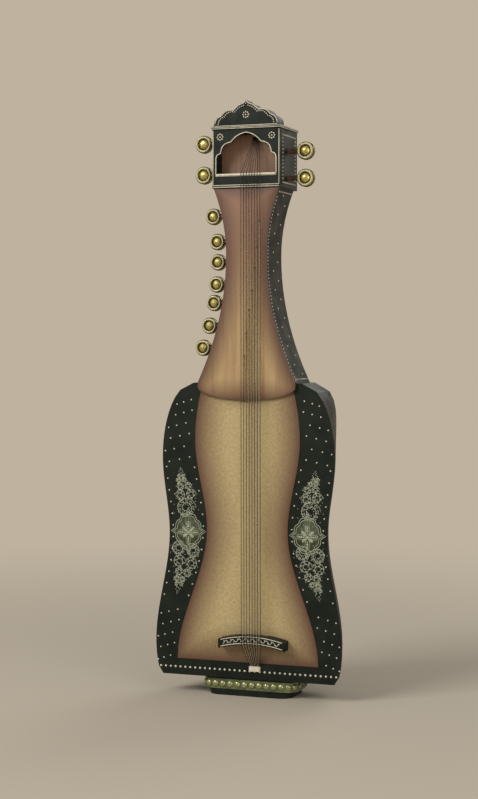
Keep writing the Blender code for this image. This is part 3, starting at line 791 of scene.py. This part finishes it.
@dataclass
class Neck:
    """The plate, its dotted edges and the studded side walls."""

    palette: Palette
    dot_radius: float = 1.5 * MM
    dot_step: float = 5.6 * MM
    zigzag_step: float = 15 * MM

    def build(self) -> None:
        """Makes the plate sheet, dotted lines, zigzag studs and string bushes."""
        Sheet("neck_plate", self.palette.plate, "plate_wood", 0.8 * MM, 34 * MM).build()
        self.wall = Shape("neck_shell")
        self.plate = Shape("neck_plate")
        work = Inlay("neck_studs", self.palette.bone)
        low, high = self.wall.low.z + 4 * MM, self.wall.high.z - 4 * MM
        front, back = self.wall.low.y, self.wall.high.y
        for side in Side:
            for k in range(int((high - low) / self.dot_step)):
                self._stud(work, side, low + k * self.dot_step, front + 4 * MM, self.dot_radius)
            for k in range(int((high - low) / self.zigzag_step)):
                z = low + 10 * MM + k * self.zigzag_step
                share = 0.36 if k % 2 else 0.62
                self._stud(work, side, z, front + (back - front) * share, 1.7 * MM)
            for z in (low + 2 * MM, high - 2 * MM):
                for k in range(10):
                    depth = front + 6 * MM + k * (back - front - 20 * MM) / 9
                    self._stud(work, side, z, depth, self.dot_radius)
        work.place("bone")
        self._bushes()

    def _stud(self, work: Inlay, side: Side, z: float, y: float, radius: float) -> None:
        """Adds a stud on a side wall.

        Args:
            work: where it goes.
            side: which wall.
            z: its height.
            y: its depth.
            radius: its radius.
        """
        half = self.wall.half_at(z)
        slope = (self.wall.half_at(z + 1 * MM) - self.wall.half_at(z - 1 * MM)) / (2 * MM)
        normal = Vector((side.value, 0, -slope)).normalized()
        work.dome(Vector((side.value * half, y, z)), normal, radius)

    def _bushes(self) -> None:
        """Small dark rings where the side strings go through the plate."""
        work = Inlay("string_bushes", self.palette.shaft)
        plane = self.plate.low.y
        for number in range(1, 8):
            string = Shape(f"side_string_{number}")
            crossing = min(string.points, key=lambda p: abs(p.y - plane))
            ring = [(crossing.x + 1.7 * MM * math.cos(a), crossing.z + 1.7 * MM * math.sin(a))
                    for a in (2 * math.pi * i / 12 for i in range(12))]
            work.thread(on_front(plane, ring), FRONT, 0.35 * MM, closed=True)
        work.place("shaft_wood")


@dataclass
class Head:
    """The pegbox, its arch window, the cornice and the crest."""

    palette: Palette
    line_radius: float = 0.8 * MM
    petal_ring: float = 4.6 * MM
    petals: int = 8
    dot_radius: float = 1.55 * MM
    border_inset: float = 11 * MM

    def build(self) -> None:
        """Makes the lines, rosettes and dotted borders."""
        self.front = Shape("pegbox_front")
        self.box = Shape("pegbox_shell")
        self.crest = Shape("crest_board")
        self.cornice = Shape("cornice")
        self._lines()
        self._side_borders()
        self._crest_work()

    def _rosette(self, work: Inlay, x: float, y: float, z: float) -> None:
        """Adds eight petal dots round a middle one.

        Args:
            work: where they go.
            x: of the middle.
            y: of the surface.
            z: of the middle.
        """
        work.dome(Vector((x, y, z)), FRONT, 1.3 * MM)
        for i in range(self.petals):
            a = 2 * math.pi * i / self.petals
            work.dome(Vector((x + self.petal_ring * math.cos(a), y, z + self.petal_ring * math.sin(a))),
                      FRONT, 1.35 * MM)

    def _lines(self) -> None:
        """Window border, front frame lines, the double line below and two rosettes above."""
        work = Inlay("pegbox_lines", self.palette.bone)
        y = self.front.low.y
        half = self.front.high.x
        low, high = self.front.low.z, self.front.high.z
        centre = (0.0, low + 0.55 * (high - low))
        window = self.front.ring(centre, lambda p: abs(p.x) < half - 3 * MM and p.z > low + 15 * MM
                                 and p.z < high - 1 * MM)
        swollen = [(x * 1.012, centre[1] + (z - centre[1]) * 1.012) for x, z in window]
        work.thread(on_front(y, swollen), FRONT, self.line_radius, closed=True)
        for z in (low + 2.0 * MM, low + 5.0 * MM):
            work.thread(on_front(y, [(-half + 1 * MM, z), (half - 1 * MM, z)]), FRONT, 0.7 * MM)
        for x in (-half + 1.0 * MM, half - 1.0 * MM):
            work.thread(on_front(y, [(x, low + 5 * MM), (x, high - 1 * MM)]), FRONT, 0.7 * MM)
        for x in (-half + 13 * MM, half - 13 * MM):
            self._rosette(work, x, y, high - 11 * MM)
        work.place("bone")

    def _side_borders(self) -> None:
        """Dotted panels on both side walls and lines round the cornice."""
        work = Inlay("pegbox_borders", self.palette.bone)
        low, high = self.box.low, self.box.high
        inset = self.border_inset
        for side in Side:
            x = side.value * high.x
            normal = Vector((side.value, 0, 0))
            y0, y1 = low.y + inset, high.y - inset
            z0, z1 = low.z + inset * 0.8, high.z - inset * 0.8
            for k in range(14):
                z = z0 + (z1 - z0) * k / 13
                for y in (y0, y1):
                    work.dome(Vector((x, y, z)), normal, self.dot_radius)
            for k in range(1, 11):
                y = y0 + (y1 - y0) * k / 11
                for z in (z0, z1):
                    work.dome(Vector((x, y, z)), normal, self.dot_radius)
        lo, hi = self.cornice.low, self.cornice.high
        z = 0.5 * (lo.z + hi.z)
        corners = [Vector((hi.x, lo.y, z)), Vector((hi.x, hi.y, z)), Vector((lo.x, hi.y, z)),
                   Vector((lo.x, lo.y, z))]
        for a, b in zip(corners, corners[1:] + corners[:1]):
            out = (b - a).cross(Vector((0, 0, 1))).normalized()
            for lift in (-1.1 * MM, 1.1 * MM):
                step = Vector((0, 0, lift))
                work.thread([a + step, b + step], out, 0.55 * MM)
        work.place("bone")

    def _crest_work(self) -> None:
        """Outline, dot row and rosette of the crest."""
        work = Inlay("crest_inlay", self.palette.bone)
        y = self.crest.low.y
        base, top = self.crest.low.z, self.crest.high.z
        outline = self.crest.ring((0.0, base), lambda p: True)
        edge = [(x * 0.975, base + (z - base) * 0.975) for x, z in outline]
        work.thread(on_front(y, edge), FRONT, 0.75 * MM)
        dotted = [(x * 0.87, base + (z - base) * 0.87) for x, z in outline]
        for x, z in dotted:
            if z > base + 2 * MM:
                work.dome(Vector((x, y, z)), FRONT, 1.05 * MM)
        self._rosette(work, 0.0, y, base + 0.42 * (top - base))
        work.place("bone")


@dataclass
class Bridge:
    """Inlaid face of the bridge bar."""

    palette: Palette
    bar_width: float = 15 * MM
    line_inset: float = 2.2 * MM
    wave_depth: float = 2.3 * MM
    wave_turns: float = 31.0
    dots: int = 17

    def build(self) -> None:
        """Makes two bone lines and the running leaf band between them."""
        shape = Shape("bridge")
        work = Inlay("bridge_inlay", self.palette.bone)
        y = shape.low.y
        centre = 0.5 * (shape.low.x + shape.high.x)
        half = 0.5 * (shape.high.x - shape.low.x)
        wide = self.bar_width
        arch = shape.high.z - shape.low.z - wide
        base = shape.low.z + wide / 2

        def line(u: float) -> Flat:
            """Middle line of the bar.

            Args:
                u: place along it, from -1 to 1.

            Returns:
                Its x and z.
            """
            return centre + u * half, base + arch * (1 - u * u)

        for lift in (-(wide / 2 - self.line_inset), wide / 2 - self.line_inset):
            path = [(x, z + lift) for x, z in (line(u) for u in spread(-0.93, 0.93, 33))]
            work.thread(on_front(y, path), FRONT, 0.65 * MM)
        wave = []
        for u in spread(-0.86, 0.86, 97):
            x, z = line(u)
            wave.append((x, z + self.wave_depth * math.sin(u * self.wave_turns)))
        work.thread(on_front(y, wave), FRONT, 0.45 * MM)
        for k, u in enumerate(spread(-0.82, 0.82, self.dots)):
            x, z = line(u)
            work.dome(Vector((x, y, z - 1.9 * MM * (1 if k % 2 else -1))), FRONT, 1.0 * MM, sides=6)
        work.place("bone")


@dataclass
class Foot:
    """Round studs set about the gilt band."""

    palette: Palette
    radius: float = 5.4 * MM
    corner: float = 22 * MM
    front_count: int = 12

    def build(self) -> None:
        """Makes the studs on all four sides of the band."""
        shape = Shape("foot_band")
        work = Inlay("foot_studs", self.palette.cabochon)
        z = 0.5 * (shape.low.z + shape.high.z)
        reach = shape.high.x - 12 * MM
        for x in spread(-reach, reach, self.front_count):
            for y, normal in ((shape.low.y, FRONT), (shape.high.y, -FRONT)):
                if abs(x) < shape.high.x - self.corner + 1 * MM:
                    work.dome(Vector((x, y, z)), normal, self.radius, 0.55, 14, 4)
        inner = shape.high - Vector((self.corner, self.corner, 0))
        for side in Side:
            for a in (0.0, 0.6, 1.1):
                for way in (-1, 1):
                    out = Vector((side.value * math.cos(a), way * math.sin(a), 0))
                    middle = Vector((side.value * inner.x, way * inner.y, z))
                    work.dome(middle + out * self.corner * 0.995, out, self.radius, 0.55, 14, 4)
        work.place("foot_gilt")


@dataclass
class Pegs:
    """Cream and dark rings on both faces of every peg head; the inner dark ring is painted shade in the
    groove.
    """

    palette: Palette
    shaft_inset: float = 6 * MM
    sides: int = 32

    def build(self) -> None:
        """Dresses each head on its own body."""
        for body in frame["bodies"]:
            if body == BODY:
                continue
            head = Shape(f"{body}_head")
            centre = 0.5 * (head.low + head.high)
            radius = 0.5 * (head.high.z - head.low.z)
            shaft = Shape(f"{body}_shaft")
            away = 1.0 if centre.x > 0 else -1.0
            outer = shaft.high.x if away > 0 else -shaft.low.x
            centre.x = away * (outer + self.shaft_inset)
            half = 0.5 * (head.high.y - head.low.y)
            for name, share, lift, tube, finish in (
                ("cream", 0.81, 0.88, 1.45 * MM, self.palette.ring),
                # dark: black lacquer laid in the head's groove as painted shade.
                ("dark", 0.60, 0.72, 0.85 * MM, self.palette.lacquer),
                ("rim", 0.985, 0.42, 0.75 * MM, self.palette.lacquer),
            ):
                work = Inlay(f"{body}_{name}_ring", finish)
                for way in (-1, 1):
                    y = centre.y + way * half * lift
                    ring = [Vector((centre.x + radius * share * math.cos(a), y,
                                    centre.z + radius * share * math.sin(a)))
                            for a in (2 * math.pi * i / self.sides for i in range(self.sides))]
                    work.thread(ring, Vector((0, way, 0)), tube, closed=True)
                work.place("peg_brass", body)


def dress_nodes(palette: Palette) -> None:
    """Gives every carried-over node its finish.

    Args:
        palette: the finishes.
    """
    finishes = {
        "niche_board": palette.niche, "nut": palette.bone, "tail_block": palette.bone,
        "foot_band": palette.gilt, "bridge": palette.lacquer,
    }
    for name, node in frame["nodes"].items():
        finish = finishes.get(name, palette.lacquer)
        if name.endswith("_head"):
            finish = palette.gold
        elif name.endswith("_shaft"):
            finish = palette.shaft
        elif name.startswith("playing_string"):
            finish = palette.dark_wire
        elif name.startswith("side_string"):
            finish = palette.pale_wire
        node.data.materials.clear()
        node.data.materials.append(finish.material())
        for polygon in node.data.polygons:
            polygon.material_index = 0
        node.data.shade_smooth()
        node.data.set_sharp_from_angle(angle=math.radians(34))


@dataclass
class Studio:
    """Pale floor, soft lights and the camera."""

    azimuth: float = 20.0
    distance: float = 2.8
    aim: tuple[float, float, float] = (-0.030, 0.0, 0.477)
    eye_height: float = 0.58
    seen_height: float = 1.300
    backdrop: Colour = (0.52, 0.45, 0.35)
    floor_colour: Colour = (0.56, 0.49, 0.39)

    def build(self) -> None:
        """Makes floor, backdrop, lamps, world and camera."""
        self._floor()
        for name, place, power, size in (
            ("key_light", (-1.6, -2.4, 2.3), 62.0, 1.6),
            ("fill_light", (2.2, -2.2, 1.2), 26.0, 2.2),
            ("back_light", (0.6, 2.4, 2.2), 20.0, 1.8),
        ):
            self._lamp(name, Vector(place), power, size)
        self._world()
        bpy.context.scene.view_settings.view_transform = "Standard"
        self._camera()

    def _world(self) -> None:
        """Even light from all round, and the backdrop's own colour where it is seen."""
        world = bpy.data.worlds.new("soft_room")
        world.use_nodes = True
        nodes, links = world.node_tree.nodes, world.node_tree.links
        back = nodes["Background"]
        back.inputs["Color"].default_value = (0.80, 0.79, 0.77, 1)
        back.inputs["Strength"].default_value = 0.42
        seen = nodes.new("ShaderNodeBackground")
        seen.inputs["Color"].default_value = (*self.backdrop, 1)
        mix = nodes.new("ShaderNodeMixShader")
        links.new(self._seen_rays(world.node_tree), mix.inputs["Fac"])
        links.new(back.outputs["Background"], mix.inputs[1])
        links.new(seen.outputs["Background"], mix.inputs[2])
        links.new(mix.outputs["Shader"], nodes["World Output"].inputs["Surface"])
        bpy.context.scene.world = world

    def _seen_rays(self, tree: bpy.types.NodeTree) -> bpy.types.NodeSocket:
        """Gives 1 for rays that show the backdrop and 0 for those that light the object.

        Args:
            tree: the node tree to add to.

        Returns:
            The socket with the value.
        """
        path = tree.nodes.new("ShaderNodeLightPath")
        total = path.outputs["Is Camera Ray"]
        for label in ("Is Glossy Ray", "Is Transmission Ray"):
            larger = tree.nodes.new("ShaderNodeMath")
            larger.operation = "MAXIMUM"
            tree.links.new(total, larger.inputs[0])
            tree.links.new(path.outputs[label], larger.inputs[1])
            total = larger.outputs[0]
        return total

    def _floor(self) -> None:
        """Wide pale floor that keeps the shadow and takes the backdrop's colour further away."""
        data = bpy.data.meshes.new("studio_floor")
        reach = 12.0
        data.from_pydata([(-reach, -reach, 0), (reach, -reach, 0), (reach, reach, 0), (-reach, reach, 0)],
                         [], [(0, 1, 2, 3)])
        made = bpy.data.materials.new("pale_floor")
        made.use_nodes = True
        tree = made.node_tree
        shader = tree.nodes["Principled BSDF"]
        shader.inputs["Roughness"].default_value = 0.9
        shader.inputs["Specular IOR Level"].default_value = 0.0
        shader.inputs["Emission Color"].default_value = (*self.backdrop, 1)
        place = tree.nodes.new("ShaderNodeNewGeometry")
        away = tree.nodes.new("ShaderNodeVectorMath")
        away.operation = "LENGTH"
        fade = tree.nodes.new("ShaderNodeMapRange")
        fade.interpolation_type = "SMOOTHSTEP"
        fade.inputs["From Min"].default_value = 0.35
        fade.inputs["From Max"].default_value = 2.2
        share = tree.nodes.new("ShaderNodeMath")
        share.operation = "MULTIPLY"
        tone = tree.nodes.new("ShaderNodeMix")
        tone.data_type = "RGBA"
        tone.inputs["A"].default_value = (*self.floor_colour, 1)
        tone.inputs["B"].default_value = (0, 0, 0, 1)
        tree.links.new(place.outputs["Position"], away.inputs[0])
        tree.links.new(away.outputs["Value"], fade.inputs["Value"])
        tree.links.new(fade.outputs["Result"], share.inputs[0])
        tree.links.new(self._seen_rays(tree), share.inputs[1])
        tree.links.new(share.outputs[0], tone.inputs["Factor"])
        tree.links.new(tone.outputs["Result"], shader.inputs["Base Color"])
        tree.links.new(share.outputs[0], shader.inputs["Emission Strength"])
        data.materials.append(made)
        floor = bpy.data.objects.new("studio_floor", data)
        bpy.context.scene.collection.objects.link(floor)

    def _lamp(self, name: str, place: Vector, power: float, size: float) -> None:
        """Adds one soft lamp that faces the instrument.

        Args:
            name: the lamp's name.
            place: where it hangs.
            power: in watts.
            size: edge of its square.
        """
        data = bpy.data.lights.new(name, "AREA")
        data.energy = power
        data.size = size
        lamp = bpy.data.objects.new(name, data)
        lamp.location = place
        lamp.rotation_euler = (Vector(self.aim) - place).to_track_quat("-Z", "Y").to_euler()
        bpy.context.scene.collection.objects.link(lamp)

    def _camera(self) -> None:
        """Places the camera at the picture's viewing angle."""
        data = bpy.data.cameras.new("picture_camera")
        data.sensor_fit = "VERTICAL"
        data.lens = data.sensor_height * self.distance / self.seen_height
        camera = bpy.data.objects.new("picture_camera", data)
        turn = math.radians(self.azimuth)
        aim = Vector(self.aim)
        camera.location = Vector((aim.x + self.distance * math.sin(turn),
                                  aim.y - self.distance * math.cos(turn), self.eye_height))
        camera.rotation_euler = (aim - camera.location).to_track_quat("-Z", "Y").to_euler()
        bpy.context.scene.collection.objects.link(camera)
        bpy.context.scene.camera = camera


def main() -> None:
    """Builds every sub-assembly in order."""
    logging.basicConfig(level=logging.INFO, format="%(name)s: %(message)s")
    palette = Palette()
    dress_nodes(palette)
    for part in (BellyAndRim(palette), Neck(palette), Head(palette), Bridge(palette), Foot(palette),
                 Pegs(palette)):
        part.build()
        LOG.info("%s dressed", type(part).__name__)
    Studio().build()


if __name__ == "__main__":
    main()
